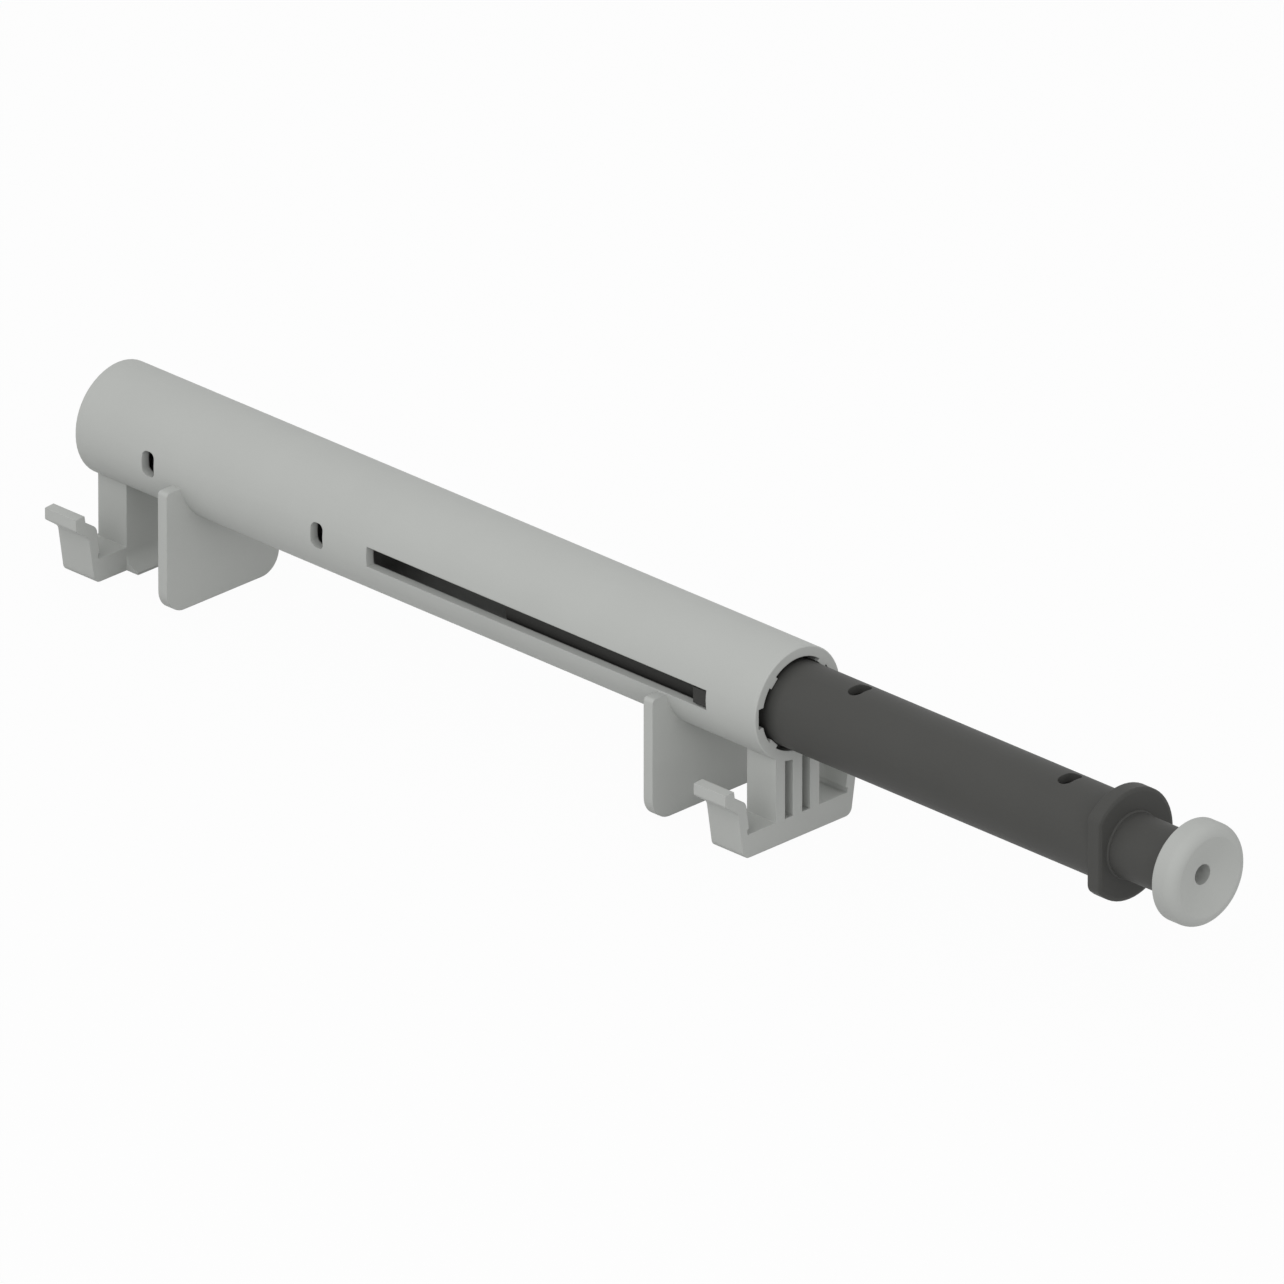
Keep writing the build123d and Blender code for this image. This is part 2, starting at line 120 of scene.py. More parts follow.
class Graph:
    """A node tree that is built one node at a time."""

    def __init__(self, tree: bpy.types.NodeTree) -> None:
        """Start on a tree with nothing in it.

        Args:
            tree: The material's, world's or group's own tree.
        """
        self.tree = tree
        tree.nodes.clear()

    def add(
        self, kind: str, settings: dict[str, object] | None = None, **sockets: object
    ) -> bpy.types.Node:
        """Add a node and fill its sockets.

        Args:
            kind: The node's type name in Blender.
            settings: Properties of the node itself.
            sockets: Socket names, with _ for a space. A node socket links, and anything else is a
                value.

        Returns:
            The new node.
        """
        node = self.tree.nodes.new(kind)
        for name, value in (settings or {}).items():
            setattr(node, name, value)
        for name, value in sockets.items():
            self.fill(node.inputs[name.replace("_", " ")], value)
        return node

    def fill(self, socket: bpy.types.NodeSocket, value: object) -> None:
        """Link a socket to another one, or set its own value.

        Args:
            socket: The input to fill.
            value: Another socket, a number, or a colour or vector.
        """
        if isinstance(value, bpy.types.NodeSocket):
            self.tree.links.new(value, socket)
        elif isinstance(value, tuple) and socket.type == "RGBA" and len(value) == 3:
            socket.default_value = (*value, 1.0)
        else:
            socket.default_value = value

    def math(self, operation: str, first: object, second: object) -> bpy.types.NodeSocket:
        """Combine two numbers.

        Args:
            operation: The operation's name in Blender.
            first: A socket or a number.
            second: A socket or a number.

        Returns:
            The result's socket.
        """
        node = self.add("ShaderNodeMath", {"operation": operation})
        self.fill(node.inputs[0], first)
        self.fill(node.inputs[1], second)
        return node.outputs[0]

    def vector(
        self, operation: str, first: object, second: object, output: str = "Vector"
    ) -> bpy.types.NodeSocket:
        """Combine two vectors.

        Args:
            operation: The operation's name in Blender.
            first: A socket or a vector.
            second: A socket or a vector.
            output: Which result is wanted, Vector or Value.

        Returns:
            The result's socket.
        """
        node = self.add("ShaderNodeVectorMath", {"operation": operation})
        self.fill(node.inputs[0], first)
        self.fill(node.inputs[1], second)
        return node.outputs[output]

    def scaled(self, colour: object, share: bpy.types.NodeSocket) -> bpy.types.NodeSocket:
        """Make a colour lighter or darker.

        Args:
            colour: A socket or a colour.
            share: The socket of the number that every channel is multiplied by.

        Returns:
            The result's socket.
        """
        node = self.add("ShaderNodeVectorMath", {"operation": "SCALE"}, Scale=share)
        self.fill(node.inputs[0], colour)
        return node.outputs["Vector"]

    def swing(
        self, noise: bpy.types.Node, spread: bpy.types.NodeSocket
    ) -> bpy.types.NodeSocket:
        """Turn a noise from 0 to 1 into a swing about 0, half the spread either way.

        Args:
            noise: The noise texture.
            spread: The socket of the whole spread.

        Returns:
            The swing's socket.
        """
        return self.math("MULTIPLY", self.math("SUBTRACT", noise.outputs["Fac"], 0.5), spread)

    def mixed(
        self, share: bpy.types.NodeSocket, first: bpy.types.Node, second: bpy.types.Node
    ) -> bpy.types.Node:
        """Mix two shaders.

        Args:
            share: The socket of the second shader's share.
            first: The shader that shows where the share is 0.
            second: The shader that shows where the share is 1.

        Returns:
            The mixing node.
        """
        node = self.add("ShaderNodeMixShader")
        self.fill(node.inputs[0], share)
        self.fill(node.inputs[1], first.outputs[0])
        self.fill(node.inputs[2], second.outputs[0])
        return node


def new_group(name: str, inputs: dict[str, str], outputs: dict[str, str]) -> bpy.types.NodeTree:
    """Make an empty shader group with named sockets.

    Args:
        name: The group's name.
        inputs: Socket names and their types.
        outputs: Socket names and their types.

    Returns:
        The group's tree, with no nodes.
    """
    group = bpy.data.node_groups.new(name, "ShaderNodeTree")
    for side, sockets in (("INPUT", inputs), ("OUTPUT", outputs)):
        for socket_name, kind in sockets.items():
            group.interface.new_socket(socket_name, in_out=side, socket_type=kind)
    return group


def new_material(name: str) -> tuple[bpy.types.Material, Graph]:
    """Make a material with no nodes.

    Args:
        name: The material's name.

    Returns:
        The material, and the graph of its tree.
    """
    made = bpy.data.materials.new(name)
    made.use_nodes = True
    return made, Graph(made.node_tree)


def new_object(name: str, data: bpy.types.ID) -> bpy.types.Object:
    """Make an object and link it to the scene.

    Args:
        name: The object's name.
        data: Its mesh, camera or lamp.

    Returns:
        The object, at the origin.
    """
    made = bpy.data.objects.new(name, data)
    bpy.context.scene.collection.objects.link(made)
    return made


def moulded_surface() -> bpy.types.NodeTree:
    """Surface of an injection moulding: fine spark-eroded grain, flow clouds and edges that carry
    a painted highlight.

    Object coordinates in millimetres feed three noises. The finest is the grain's height and
    specks the colour, the middle one shades the colour by a few percent either way, and the
    broadest moves the roughness. The edge mask is 1 minus the dot product of the rounded normal
    and the plain one, made stronger and held between 0 and 1. It is broken up by the middle
    noise, and there the colour is a little paler, a painted highlight along the edges, and the
    surface a little smoother.

    Returns:
        The group, which puts out Colour, Roughness and Normal.
    """
    group = new_group(
        "moulded_surface",
        {
            "Colour": "NodeSocketColor",
            "Tone Spread": "NodeSocketFloat",
            "Roughness": "NodeSocketFloat",
            "Roughness Spread": "NodeSocketFloat",
            "Grain Size": "NodeSocketFloat",
            "Grain Depth": "NodeSocketFloat",
            "Edge Round": "NodeSocketFloat",
            "Edge Wear": "NodeSocketFloat",
        },
        {
            "Colour": "NodeSocketColor",
            "Roughness": "NodeSocketFloat",
            "Normal": "NodeSocketVector",
        },
    )
    graph = Graph(group)
    given = graph.add("NodeGroupInput").outputs
    place = graph.add("ShaderNodeTexCoord").outputs["Object"]
    in_mm = graph.vector("MULTIPLY", place, (1 / MM, 1 / MM, 1 / MM))
    per_grain = graph.math("DIVIDE", 1.0, given["Grain Size"])
    grain = graph.add("ShaderNodeTexNoise", Vector=in_mm, Scale=per_grain, Detail=3.0)
    clouds = graph.add(
        "ShaderNodeTexNoise", Vector=in_mm, Scale=CLOUD_SCALE, Detail=4.0, Roughness=0.55
    )
    rubbed = graph.add("ShaderNodeTexNoise", Vector=in_mm, Scale=RUB_SCALE, Detail=2.0)

    rounded = graph.add(
        "ShaderNodeBevel", {"samples": EDGE_RAYS}, Radius=given["Edge Round"]
    ).outputs["Normal"]
    plain = graph.add("ShaderNodeNewGeometry").outputs["Normal"]
    turned = graph.vector("DOT_PRODUCT", rounded, plain, output="Value")
    strong = graph.math("MULTIPLY", graph.math("SUBTRACT", 1.0, turned), EDGE_GAIN)
    held = graph.math("MINIMUM", graph.math("MAXIMUM", strong, 0.0), 1.0)
    broken = graph.math("ADD", clouds.outputs["Fac"], EDGE_EVENNESS)
    edge = graph.math("MULTIPLY", held, broken)

    shade = graph.math(
        "ADD", graph.swing(clouds, given["Tone Spread"]), graph.swing(grain, given["Tone Spread"])
    )
    # Painted highlight: the edge mask makes the colour paler along the edges.
    painted_highlight = graph.math("MULTIPLY", edge, given["Edge Wear"])
    tone = graph.math("ADD", shade, graph.math("ADD", painted_highlight, 1.0))
    polish = graph.math("MULTIPLY", edge, EDGE_POLISH)
    wander = graph.math("SUBTRACT", graph.swing(rubbed, given["Roughness Spread"]), polish)
    relief = graph.add(
        "ShaderNodeBump",
        Strength=1.0,
        Distance=given["Grain Depth"],
        Height=grain.outputs["Fac"],
        Normal=rounded,
    )
    graph.add(
        "NodeGroupOutput",
        Colour=graph.scaled(given["Colour"], tone),
        Roughness=graph.math("ADD", given["Roughness"], wander),
        Normal=relief.outputs["Normal"],
    )
    return group


def drawn_surface() -> bpy.types.NodeTree:
    """Surface of drawn or ground metal: fine lines round the tube's axis and faint shades of tone.

    Object coordinates are in millimetres along the tube and a small share of that across it, so
    the noise changes fast from line to line and slowly along each line.

    Returns:
        The group, which puts out Colour, Roughness and Height.
    """
    group = new_group(
        "drawn_surface",
        {
            "Colour": "NodeSocketColor",
            "Tone Spread": "NodeSocketFloat",
            "Roughness": "NodeSocketFloat",
            "Line Spacing": "NodeSocketFloat",
        },
        {
            "Colour": "NodeSocketColor",
            "Roughness": "NodeSocketFloat",
            "Height": "NodeSocketFloat",
        },
    )
    graph = Graph(group)
    given = graph.add("NodeGroupInput").outputs
    place = graph.add("ShaderNodeTexCoord").outputs["Object"]
    squeezed = graph.vector(
        "MULTIPLY", place, (1 / MM, ACROSS_SHARE / MM, ACROSS_SHARE / MM)
    )
    per_line = graph.math("DIVIDE", 1.0, given["Line Spacing"])
    lines = graph.add("ShaderNodeTexNoise", Vector=squeezed, Scale=per_line, Detail=2.0)
    swing = graph.swing(lines, given["Tone Spread"])
    graph.add(
        "NodeGroupOutput",
        Colour=graph.scaled(given["Colour"], graph.math("ADD", swing, 1.0)),
        Roughness=graph.math("ADD", given["Roughness"], swing),
        Height=lines.outputs["Fac"],
    )
    return group


@dataclass(frozen=True)
class MouldedFinish:
    """A moulded plastic, rubber or foam.

    Attributes:
        name: The material's name.
        colour: Linear colour.
        sheen: How glossy it is.
        tone_spread: Share by which the colour swings.
        roughness_spread: Swing of the roughness.
        grain_size: Size of the surface grain, in millimetres.
        grain_depth: Depth of the surface grain, in metres.
        edge_round: Radius to which light sees the edges rounded, in metres.
        edge_highlight: Share by which an edge is paler, a painted highlight.
        specular: Strength of the plain reflection.
    """

    name: str
    colour: Colour
    sheen: Sheen
    tone_spread: float = 0.05
    roughness_spread: float = 0.12
    grain_size: float = 0.16
    grain_depth: float = 5e-6
    edge_round: float = 0.15 * MM
    edge_highlight: float = 0.14
    specular: float = 0.3

    def plain_colour(self, graph: Graph) -> Colour | bpy.types.NodeSocket:
        """Give the colour before grain, clouds and the painted edge highlight.

        Args:
            graph: The material's own tree.

        Returns:
            A colour, or the socket that puts one out.
        """
        return self.colour

    def material(self, surface: bpy.types.NodeTree) -> bpy.types.Material:
        """Make the material.

        Args:
            surface: The moulded_surface group.

        Returns:
            The material, with the shader in its own tree.
        """
        made, graph = new_material(self.name)
        skin = graph.add(
            "ShaderNodeGroup",
            {"node_tree": surface},
            Colour=self.plain_colour(graph),
            Tone_Spread=self.tone_spread,
            Roughness=self.sheen.value,
            Roughness_Spread=self.roughness_spread,
            Grain_Size=self.grain_size,
            Grain_Depth=self.grain_depth,
            Edge_Round=self.edge_round,
            Edge_Wear=self.edge_highlight,
        )
        shader = graph.add(
            "ShaderNodeBsdfPrincipled",
            Base_Color=skin.outputs["Colour"],
            Roughness=skin.outputs["Roughness"],
            Normal=skin.outputs["Normal"],
            Specular_IOR_Level=self.specular,
        )
        graph.add("ShaderNodeOutputMaterial", Surface=shader.outputs["BSDF"])
        return made


@dataclass(frozen=True)
class PaintedShadeSleeveFinish(MouldedFinish):
    """A moulded plastic darkened by painted shade on the stretch that stays inside the housing.

    Attributes:
        painted_shade_start: Place along the tube where the painted shade begins to thin out, in
            metres.
        painted_shade_end: Place along the tube from where the plastic has no painted shade, in
            metres.
        painted_shade_tone: Share of the colour that is left under the painted shade.
    """

    painted_shade_start: float = 2.2 * MM
    painted_shade_end: float = 4.6 * MM
    painted_shade_tone: float = 0.62

    def measure(self, graph: Graph) -> bpy.types.NodeSocket:
        """Measure how far along the tube the surface lies.

        Args:
            graph: The material's own tree.

        Returns:
            The measure's socket, in metres.
        """
        place = graph.add("ShaderNodeTexCoord").outputs["Object"]
        return graph.add("ShaderNodeSeparateXYZ", Vector=place).outputs["X"]

    def plain_colour(self, graph: Graph) -> bpy.types.NodeSocket:
        """Darken the colour with painted shade where the measure is small.

        The share of colour rises smoothly from painted_shade_tone to 1 as the measure goes from
        painted_shade_start to painted_shade_end.

        Args:
            graph: The material's own tree.

        Returns:
            The socket that puts the shaded colour out.
        """
        # Painted shade: the colour is darkened where the measure is small.
        share = graph.add(
            "ShaderNodeMapRange",
            {"interpolation_type": "SMOOTHSTEP"},
            Value=self.measure(graph),
            From_Min=self.painted_shade_start,
            From_Max=self.painted_shade_end,
            To_Min=self.painted_shade_tone,
        )
        return graph.scaled(self.colour, share.outputs["Result"])


@dataclass(frozen=True)
class PaintedShadeBoreFinish(PaintedShadeSleeveFinish):
    """A moulded plastic whose bore is darkened by painted shade.

    Attributes:
        painted_shade_start: Distance from the tube axis up to which the painted shade lies, in
            metres.
        painted_shade_end: Distance from the tube axis from where the plastic has no painted shade,
            in metres.
        axis_height: Height of the tube axis over the seat, in metres.
        rear_end: Place along the tube up to which its closed end has no painted shade, in metres.
        front_end: Place along the tube from where its mouth has no painted shade, in metres.
    """

    painted_shade_start: float = 5.8 * MM
    painted_shade_end: float = 5.95 * MM
    painted_shade_tone: float = 0.6
    axis_height: float = 17.0 * MM
    rear_end: float = -108.5 * MM
    front_end: float = 2.0 * MM

    def measure(self, graph: Graph) -> bpy.types.NodeSocket:
        """Measure how far from the tube axis the surface lies.

        The measure is the distance to the axis across the tube. Behind rear_end and in front of
        front_end it is a whole metre, so that the outside of both ends gets no painted shade.

        Args:
            graph: The material's own tree.

        Returns:
            The measure's socket, in metres.
        """
        place = graph.add("ShaderNodeTexCoord").outputs["Object"]
        along = graph.add("ShaderNodeSeparateXYZ", Vector=place).outputs["X"]
        behind = graph.math("LESS_THAN", along, self.rear_end)
        ahead = graph.math("GREATER_THAN", along, self.front_end)
        across = graph.vector("MULTIPLY", place, (0.0, 1.0, 1.0))
        axis = (0.0, 0.0, self.axis_height)
        from_axis = graph.vector("DISTANCE", across, axis, output="Value")
        return graph.math("MAXIMUM", from_axis, graph.math("MAXIMUM", behind, ahead))


@dataclass(frozen=True)
class MetalFinish:
    """A ground rod, a stamped washer or drawn wire.

    Attributes:
        name: The material's name.
        colour: Linear colour.
        sheen: How glossy it is.
        tone_spread: Share by which the colour swings between lines.
        line_spacing: Distance between the fine lines, in millimetres.
        line_depth: Depth of the fine lines, in metres.
    """

    name: str
    colour: Colour
    sheen: Sheen
    tone_spread: float = 0.08
    line_spacing: float = 0.05
    line_depth: float = 1.5e-6

    def material(self, surface: bpy.types.NodeTree) -> bpy.types.Material:
        """Make the material.

        Args:
            surface: The drawn_surface group.

        Returns:
            The material, with the shader in its own tree.
        """
        made, graph = new_material(self.name)
        skin = graph.add(
            "ShaderNodeGroup",
            {"node_tree": surface},
            Colour=self.colour,
            Tone_Spread=self.tone_spread,
            Roughness=self.sheen.value,
            Line_Spacing=self.line_spacing,
        )
        relief = graph.add(
            "ShaderNodeBump",
            Strength=1.0,
            Distance=self.line_depth,
            Height=skin.outputs["Height"],
        )
        shader = graph.add(
            "ShaderNodeBsdfPrincipled",
            Base_Color=skin.outputs["Colour"],
            Roughness=skin.outputs["Roughness"],
            Normal=relief.outputs["Normal"],
            Metallic=1.0,
        )
        graph.add("ShaderNodeOutputMaterial", Surface=shader.outputs["BSDF"])
        return made


Finish = MouldedFinish | MetalFinish

# The housing carries painted shade in its bore.
HOUSING_PLASTIC = PaintedShadeBoreFinish(
    "light_grey_moulding", linear(189, 191, 188), Sheen.MATT, specular=0.12
)
CAP_PLASTIC = MouldedFinish(
    "light_grey_button", linear(183, 185, 182), Sheen.MATT, grain_depth=3e-6, specular=0.15
)
# The sleeve carries painted shade on the stretch inside the housing.
SLEEVE_PLASTIC = PaintedShadeSleeveFinish(
    "dark_grey_moulding",
    linear(77, 77, 75),
    Sheen.MATT,
    tone_spread=0.08,
    grain_size=0.2,
    specular=0.15,
)
CYLINDER_PLASTIC = MouldedFinish(
    "black_cylinder", linear(42, 42, 43), Sheen.SATIN, tone_spread=0.06
)
GUIDE_PLASTIC = MouldedFinish("natural_white_plastic", linear(226, 225, 216), Sheen.SATIN)
SEAL_RUBBER = MouldedFinish("seal_rubber", linear(34, 34, 35), Sheen.DULL, grain_depth=8e-6)
FOAM = MouldedFinish(
    "closed_cell_foam",
    linear(104, 104, 108),
    Sheen.DULL,
    tone_spread=0.3,
    grain_size=0.35,
    grain_depth=6e-5,
)
ROD_STEEL = MetalFinish("ground_rod_steel", linear(196, 197, 199), Sheen.GROUND)
SPRING_STEEL = MetalFinish("drawn_spring_steel", linear(168, 168, 170), Sheen.DRAWN)
FLOOR_CHALK = linear(214, 214, 214)
WHITE: Colour = (1.0, 1.0, 1.0)


class FinishShop:
    """Makes each finish once and dresses pieces in it."""

    def __init__(self) -> None:
        """Build the shared groups."""
        self.moulded = moulded_surface()
        self.drawn = drawn_surface()
        self.made: dict[str, bpy.types.Material] = {}

    def material(self, finish: Finish) -> bpy.types.Material:
        """Give the material of a finish, made on first use.

        Args:
            finish: The finish.

        Returns:
            Its material, the same one each time.
        """
        if finish.name not in self.made:
            surface = self.drawn if isinstance(finish, MetalFinish) else self.moulded
            self.made[finish.name] = finish.material(surface)
        return self.made[finish.name]

    def dress(self, piece: bpy.types.Object, finish: Finish) -> None:
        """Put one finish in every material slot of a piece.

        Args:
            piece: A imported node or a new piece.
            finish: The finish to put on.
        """
        material = self.material(finish)
        if not piece.material_slots:
            piece.data.materials.append(material)
        for slot in piece.material_slots:
            slot.material = material

    def dress_nodes(self, finishes: dict[str, Finish]) -> None:
        """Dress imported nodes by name.

        Args:
            finishes: Node names and the finish of each.
        """
        for node, finish in finishes.items():
            self.dress(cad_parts[node], finish)
            LOG.info("dressed %s in %s", node, finish.name)


def grid_mesh(name: str, points: np.ndarray, close_rows: bool) -> bpy.types.Object:
    """Turn a grid of points into a closed skin of quads: a tube with capped ends, or a ring.

    Vertex (i, j) joins (i, j + 1), (i + 1, j + 1) and (i + 1, j). The last column joins the
    first one, and on a ring the last row does too.

    Args:
        name: The object's name.
        points: Array of rows by columns by 3, in metres.
        close_rows: True where the last row joins the first, as on a ring.

    Returns:
        The object, linked to the scene, with outward faces.
    """
    rows, columns = points.shape[:2]
    last = rows if close_rows else rows - 1
    i, j = np.meshgrid(np.arange(last), np.arange(columns), indexing="ij")
    i_next, j_next = (i + 1) % rows, (j + 1) % columns
    corners = [(i, j), (i, j_next), (i_next, j_next), (i_next, j)]
    quads = np.stack([row * columns + column for row, column in corners], axis=-1)
    faces = quads.reshape(-1, 4).tolist()
    if not close_rows:
        faces.append(list(range(columns))[::-1])
        faces.append([(rows - 1) * columns + k for k in range(columns)])
    mesh = bpy.data.meshes.new(name)
    mesh.from_pydata(points.reshape(-1, 3), [], faces)
    mesh.validate()
    shell = bmesh.new()
    shell.from_mesh(mesh)
    bmesh.ops.recalc_face_normals(shell, faces=shell.faces)
    shell.to_mesh(mesh)
    shell.free()
    mesh.polygons.foreach_set("use_smooth", np.ones(len(mesh.polygons), bool))
    return new_object(name, mesh)


def axis_height() -> float:
    """Height of the tube axis over the seat: the housing's top less the tube's radius."""
    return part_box("housing")[1].z - TUBE_RADIUS


@dataclass
class Housing:
    """The clip-on housing and what stands still inside it.

    Attributes:
        shop: Makes and gives out the finishes.
    """

    shop: FinishShop

    def build(self) -> None:
        """Dress the housing, the rod and the piston pieces."""
        self.shop.dress_nodes(
            {
                "housing": HOUSING_PLASTIC,
                "rod_foot": GUIDE_PLASTIC,
                "piston_rod": ROD_STEEL,
                "piston": GUIDE_PLASTIC,
                "valve_disc": SPRING_STEEL,
            }
        )


@dataclass
class Plunger:
    """The sliding sleeve with its cap and the cylinder that it carries.

    Attributes:
        shop: Makes and gives out the finishes.
        neck_radius: Radius of the neck, in metres.
        neck_length: Length of the neck from the flange to the cap, in metres.
        ring_width: How far the thin ring at the neck's root stands out from the neck, in metres.
        ring_height: How far that ring stands up from the flange, in metres.
        steps_round: Rows of the ring's grid round the neck.
        steps_over: Columns of the ring's grid round its section.
    """

    shop: FinishShop
    neck_radius: float = 3.95 * MM
    neck_length: float = 9.1 * MM
    ring_width: float = 0.26 * MM
    ring_height: float = 0.24 * MM
    steps_round: int = 128
    steps_over: int = 20

    def ring_surface(self) -> np.ndarray:
        """Work out the surface of the thin rounded ring at the root of the neck.

        Its section is an ellipse round the corner of neck and flange, carried round the tube
        axis: at angle a of the section, the radius is the neck's plus the ring's width times
        cos a, and the height over the flange is the ring's height times sin a.

        Returns:
            Array of rows by columns by 3, in metres.
        """
        flange_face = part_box("plunger_sleeve")[1].x - self.neck_length
        lean = 2 * math.pi * np.arange(self.steps_over) / self.steps_over
        radius = self.neck_radius + self.ring_width * np.cos(lean)
        height = self.ring_height * np.sin(lean)
        turn = 2 * math.pi * np.arange(self.steps_round) / self.steps_round
        return np.stack(
            [
                flange_face + np.tile(height, (self.steps_round, 1)),
                np.outer(np.cos(turn), radius),
                axis_height() + np.outer(np.sin(turn), radius),
            ],
            axis=-1,
        )

    def build(self) -> None:
        """Dress the sleeve, the cap and all that closes the cylinder, and add the neck's ring."""
        self.shop.dress_nodes(
            {
                "plunger_sleeve": SLEEVE_PLASTIC,
                "bumper_cap": CAP_PLASTIC,
                "damper_cylinder": CYLINDER_PLASTIC,
                "rod_guide": GUIDE_PLASTIC,
                "rod_seal": SEAL_RUBBER,
                "foam_compensator": FOAM,
                "separator_washer": GUIDE_PLASTIC,
            }
        )
        ring = grid_mesh("neck_root_ring", self.ring_surface(), close_rows=True)
        self.shop.dress(ring, SLEEVE_PLASTIC)
        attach(ring, Body.PLUNGER.value)
        LOG.info("made %s", ring.name)


@dataclass
class ReturnSpring:
    """The wire spring between the piston and the front wall of the cylinder.

    Attributes:
        shop: Makes and gives out the finishes.
        wire_diameter: Thickness of the wire, in metres.
        turns: Number of coils, with the closed ones.
        closed_turns: Coils at each end that lie against each other.
        steps_per_turn: Rows of the wire's grid in one coil.
        steps_round_wire: Columns of the wire's grid.
    """

    shop: FinishShop
    wire_diameter: float = 0.45 * MM
    turns: int = 22
    closed_turns: float = 1.5
    steps_per_turn: int = 44
    steps_round_wire: int = 12

    def wire_surface(self) -> np.ndarray:
        """Work out the wire's surface on a grid of coil angle by angle round the wire.

        The centre line turns round the tube axis. It climbs by one wire thickness a turn over
        the closed coils and evenly over the rest. The wire is a circle across that line.

        Returns:
            Array of rows by columns by 3, in metres.
        """
        low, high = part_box("return_spring")
        wire_radius = self.wire_diameter / 2
        coil_radius = (high.z - low.z) / 2 - wire_radius
        middle = (low.z + high.z) / 2
        rows = self.turns * self.steps_per_turn + 1
        turn = np.linspace(0, self.turns, rows)
        closed_climb = self.closed_turns * self.wire_diameter
        knots_turn = [0, self.closed_turns, self.turns - self.closed_turns, self.turns]
        start, end = low.x + wire_radius, high.x - wire_radius
        knots_x = [start, start + closed_climb, end - closed_climb, end]
        angle = 2 * math.pi * turn
        centre = np.stack(
            [
                np.interp(turn, knots_turn, knots_x),
                coil_radius * np.cos(angle),
                middle + coil_radius * np.sin(angle),
            ],
            axis=-1,
        )
        tangent = np.gradient(centre, axis=0)
        tangent /= np.linalg.norm(tangent, axis=1, keepdims=True)
        outward = np.stack([np.zeros(rows), np.cos(angle), np.sin(angle)], axis=-1)
        sideways = np.cross(tangent, outward)
        phase = np.linspace(0, 2 * math.pi, self.steps_round_wire, endpoint=False)
        circle = (
            np.cos(phase)[None, :, None] * outward[:, None]
            + np.sin(phase)[None, :, None] * sideways[:, None]
        )
        return centre[:, None] + wire_radius * circle

    def build(self) -> None:
        """Make the spring, seat it on the cylinder, let it ride with the plunger and hide the
        imported one.
        """
        spring = grid_mesh("return_spring_wire", self.wire_surface(), close_rows=False)
        self.shop.dress(spring, SPRING_STEEL)
        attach(spring, Body.PLUNGER.value)
        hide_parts("return_spring")
        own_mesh(spring)
        LOG.info("made %s with %d turns", spring.name, self.turns)


@dataclass(frozen=True)
class Lamp:
    """One square lamp that faces the target.

    Attributes:
        name: The lamp's name.
        place: Where it hangs from the target, in metres.
        size: Side of the lamp, in metres.
        power: Its power, in watts.
    """

    name: str
    place: tuple[float, float, float]
    size: float
    power: float


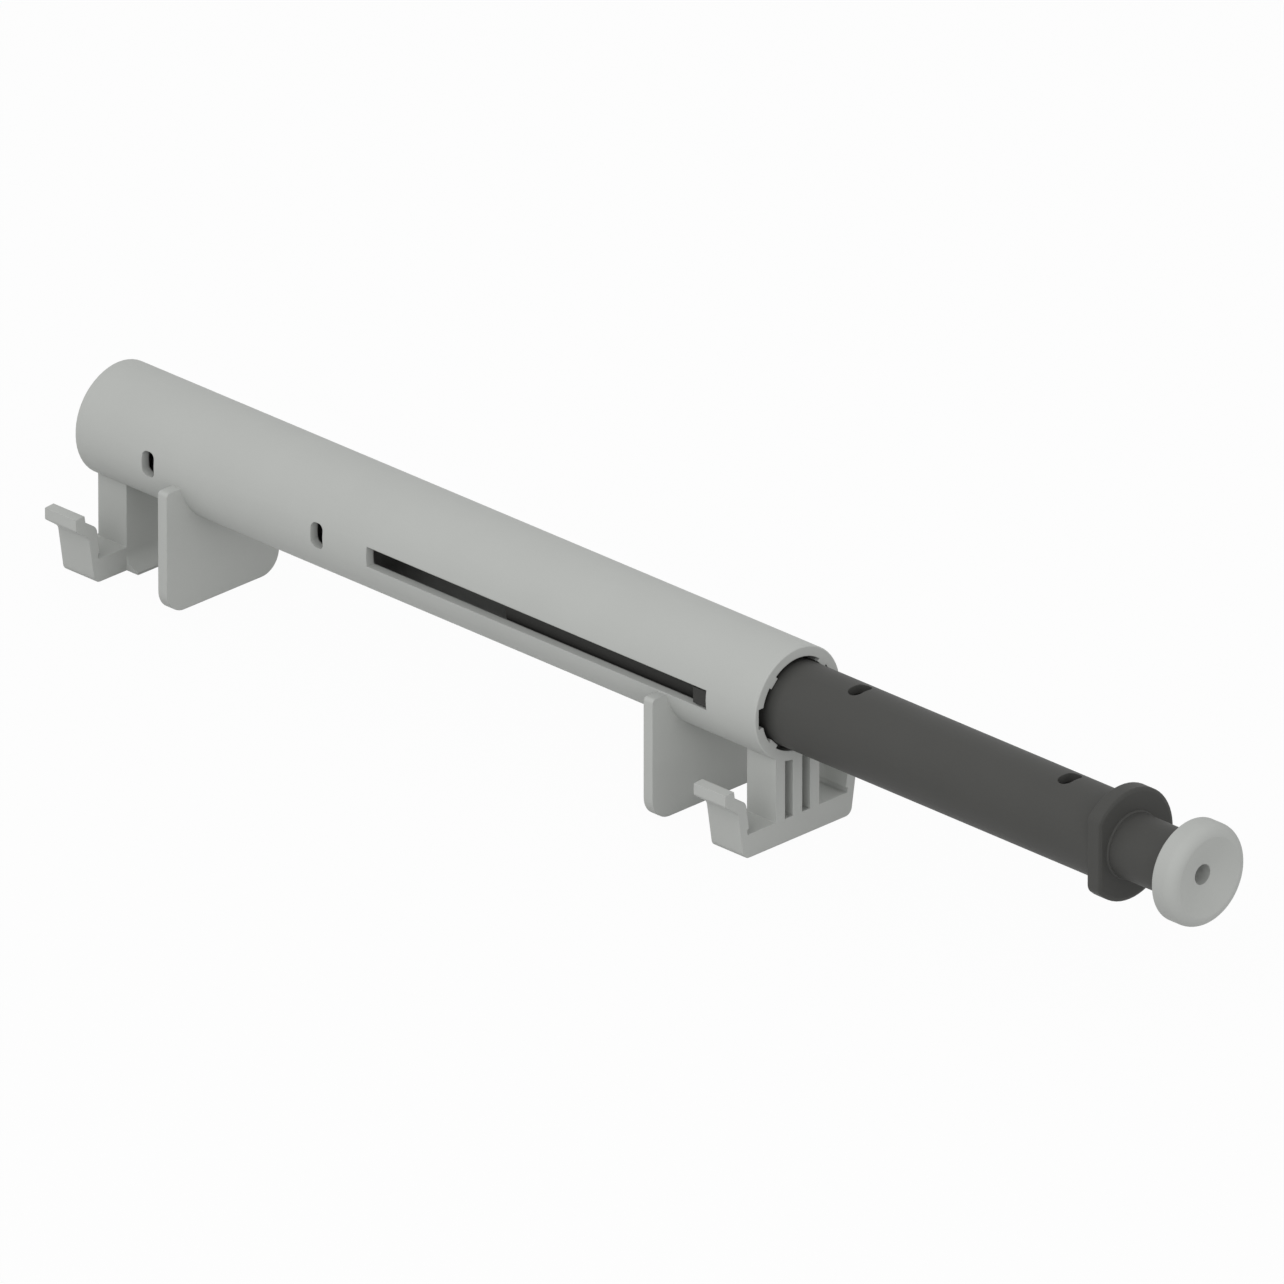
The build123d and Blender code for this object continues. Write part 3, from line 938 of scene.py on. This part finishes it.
@dataclass
class Studio:
    """Pale floor, soft lamps and the camera.

    Attributes:
        target: The point that the picture's middle looks at, in metres.
        azimuth: Camera direction round the object, in degrees.
        elevation: Camera height above the horizon, in degrees.
        picture_width: Width of the scene that the picture spans at the target, in metres.
        lens: Focal length, in millimetres. It is long, because the photo shows no perspective.
        sensor_width: Width of the camera's sensor, in millimetres.
        floor_size: Side of the floor, in metres.
        floor_drop: How far the floor lies under the seat, in metres.
        background_share: Share of plain white in what the camera sees of the floor.
        sky: Strength of the even light from all round.
        lamps: The lamps over the floor.
    """

    target: Vector
    azimuth: float = 45.0
    elevation: float = 25.0
    picture_width: float = 148.3 * MM
    lens: float = 1500.0
    sensor_width: float = 36.0
    floor_size: float = 8.0
    floor_drop: float = 0.02 * MM
    background_share: float = 0.96
    sky: float = 0.68
    lamps: tuple[Lamp, ...] = (
        Lamp("key_lamp", (0.05, -0.66, 0.6), 0.6, 1.65),
        Lamp("front_lamp", (0.9, -0.35, 0.35), 0.6, 1.45),
    )

    def set_up(self, thing: bpy.types.Object, place: Vector) -> None:
        """Put a camera or lamp at a place and turn it to the target.

        Args:
            thing: The camera or lamp.
            place: Where it stands from the target, in metres.
        """
        thing.rotation_mode = "QUATERNION"
        thing.location = self.target + place
        thing.rotation_quaternion = (-place).to_track_quat("-Z", "Y")

    def camera(self) -> None:
        """Make the camera so that the picture's width spans picture_width at the target."""
        data = bpy.data.cameras.new("camera")
        data.lens = self.lens
        data.sensor_width = self.sensor_width
        distance = self.picture_width * self.lens / self.sensor_width
        data.clip_start, data.clip_end = 0.1, 4 * distance
        azimuth, elevation = math.radians(self.azimuth), math.radians(self.elevation)
        towards = Vector(
            (
                math.sin(azimuth) * math.cos(elevation),
                -math.cos(azimuth) * math.cos(elevation),
                math.sin(elevation),
            )
        )
        camera = new_object("camera", data)
        self.set_up(camera, towards * distance)
        bpy.context.scene.camera = camera

    def seen_directly(self, graph: Graph) -> bpy.types.NodeSocket:
        """Tell rays from the camera, or from a mirror-like or clear surface, from all others.

        Args:
            graph: The tree of the world or of a material.

        Returns:
            The socket that is 1 for those rays and 0 for others.
        """
        path = graph.add("ShaderNodeLightPath").outputs
        either = graph.math("MAXIMUM", path["Is Camera Ray"], path["Is Glossy Ray"])
        return graph.math("MAXIMUM", either, path["Is Transmission Ray"])

    def world(self) -> None:
        """Make the sky: even grey light, and plain white where it is seen."""
        world = bpy.data.worlds.new("sky")
        world.use_nodes = True
        graph = Graph(world.node_tree)
        grey = graph.add("ShaderNodeBackground", Color=WHITE, Strength=self.sky)
        white = graph.add("ShaderNodeBackground", Color=WHITE, Strength=1.0)
        seen = graph.mixed(self.seen_directly(graph), grey, white)
        graph.add("ShaderNodeOutputWorld", Surface=seen.outputs[0])
        bpy.context.scene.world = world

    def floor(self) -> None:
        """Make the floor: white where it is seen, with a faint shadow, and clear from below."""
        half = self.floor_size / 2
        corners = np.array([(-half, -half), (half, -half), (half, half), (-half, half)])
        mesh = bpy.data.meshes.new("floor")
        mesh.from_pydata(np.insert(corners, 2, -self.floor_drop, axis=1), [], [(0, 1, 2, 3)])
        material, graph = new_material("pale_floor")
        chalk = graph.add("ShaderNodeBsdfDiffuse", Color=FLOOR_CHALK)
        white = graph.add("ShaderNodeEmission", Color=WHITE, Strength=1.0)
        share = graph.math("MULTIPLY", self.seen_directly(graph), self.background_share)
        top = graph.mixed(share, chalk, white)
        clear = graph.add("ShaderNodeBsdfTransparent")
        below = graph.add("ShaderNodeNewGeometry").outputs["Backfacing"]
        both = graph.mixed(below, top, clear)
        graph.add("ShaderNodeOutputMaterial", Surface=both.outputs[0])
        mesh.materials.append(material)
        new_object("floor", mesh)

    def light(self, lamp: Lamp) -> None:
        """Hang one lamp.

        Args:
            lamp: The lamp's place, size and power.
        """
        data = bpy.data.lights.new(lamp.name, "AREA")
        data.size = lamp.size
        data.energy = lamp.power
        self.set_up(new_object(lamp.name, data), Vector(lamp.place))

    def build(self) -> None:
        """Set up camera, sky, floor and lamps."""
        self.camera()
        self.world()
        self.floor()
        for lamp in self.lamps:
            self.light(lamp)
        bpy.context.scene.view_settings.view_transform = "Standard"
        LOG.info("studio is lit by %d lamps and the sky", len(self.lamps))


def picture_middle() -> Vector:
    """Point near the tube axis that the photo's middle looks at, placed from the mouth."""
    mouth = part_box("housing")[1].x
    return Vector((mouth - PICTURE_BEHIND_MOUTH, 0, axis_height() - PICTURE_BELOW_AXIS))


def main() -> None:
    """Build the studio and dress the object, one sub-assembly after the other."""
    logging.basicConfig(level=logging.INFO, format="%(name)s: %(message)s")
    shop = FinishShop()
    Studio(target=picture_middle()).build()
    Housing(shop).build()
    Plunger(shop).build()
    ReturnSpring(shop).build()


if __name__ == "__main__":
    main()
